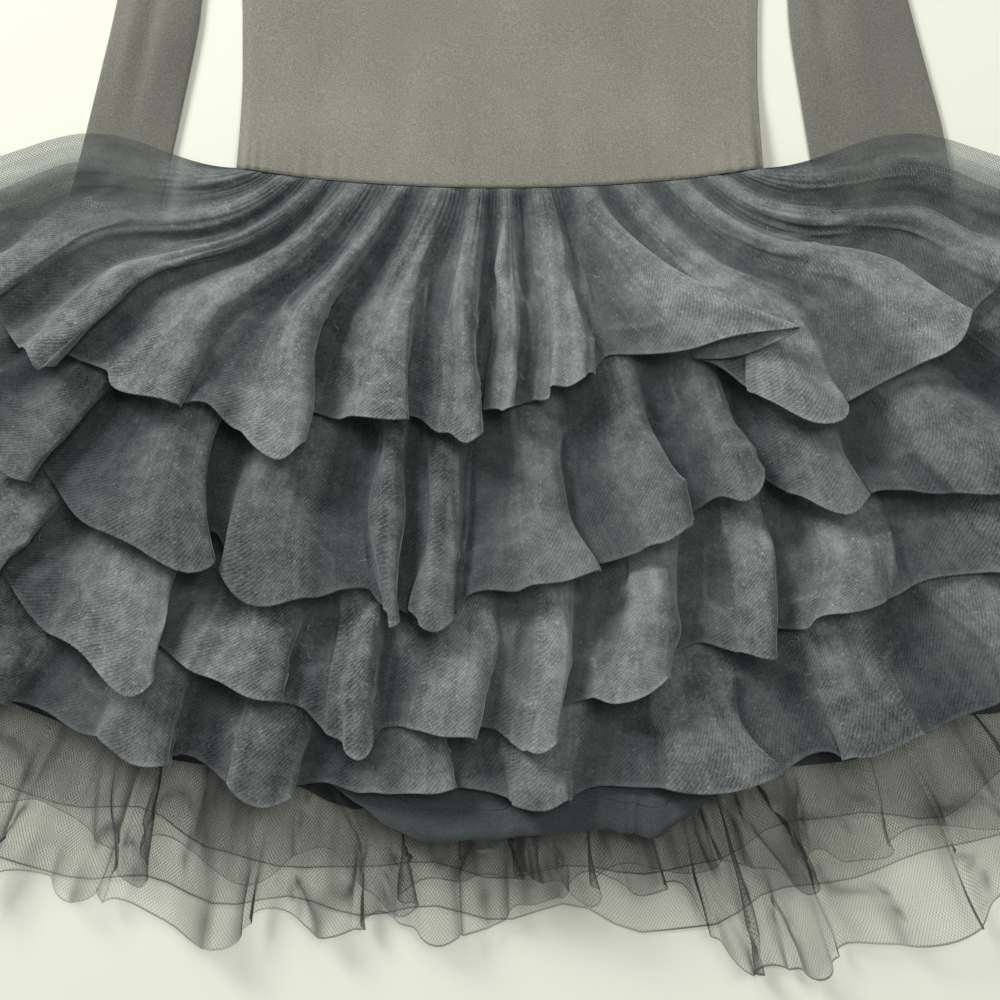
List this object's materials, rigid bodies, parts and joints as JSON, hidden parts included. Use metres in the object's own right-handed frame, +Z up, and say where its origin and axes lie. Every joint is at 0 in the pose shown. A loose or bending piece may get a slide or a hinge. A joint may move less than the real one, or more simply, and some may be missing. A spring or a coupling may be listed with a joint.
{
  "type": "tutu dress",
  "caption": "Child's long-sleeved tutu dress laid flat: knit bodice and sleeves, four gathered tulle tiers over a slip and two net rings.",
  "frame": {"origin": "on the surface under the middle of the laid-out dress's box", "axes": "+X across the dress to the right of one who looks down on it with the neck at the top, +Y towards the neck, +Z up from the surface it lies on"},
  "size_m": [0.8624, 0.758, 0.0473],
  "materials": {
    "knit": "matt",
    "tulle": "dusty sheen",
    "coarse_net": "slight sheen"
  },
  "bodies": {
    "root": {"bodice_front": "knit", "bodice_back": "knit", "sleeve_left": "knit", "sleeve_right": "knit", "slip": "knit", "tier_1": "tulle", "tier_2": "tulle", "tier_3": "tulle", "tier_4": "tulle", "net_short": "coarse_net", "net_long": "coarse_net"}
  },
  "joints": []
}
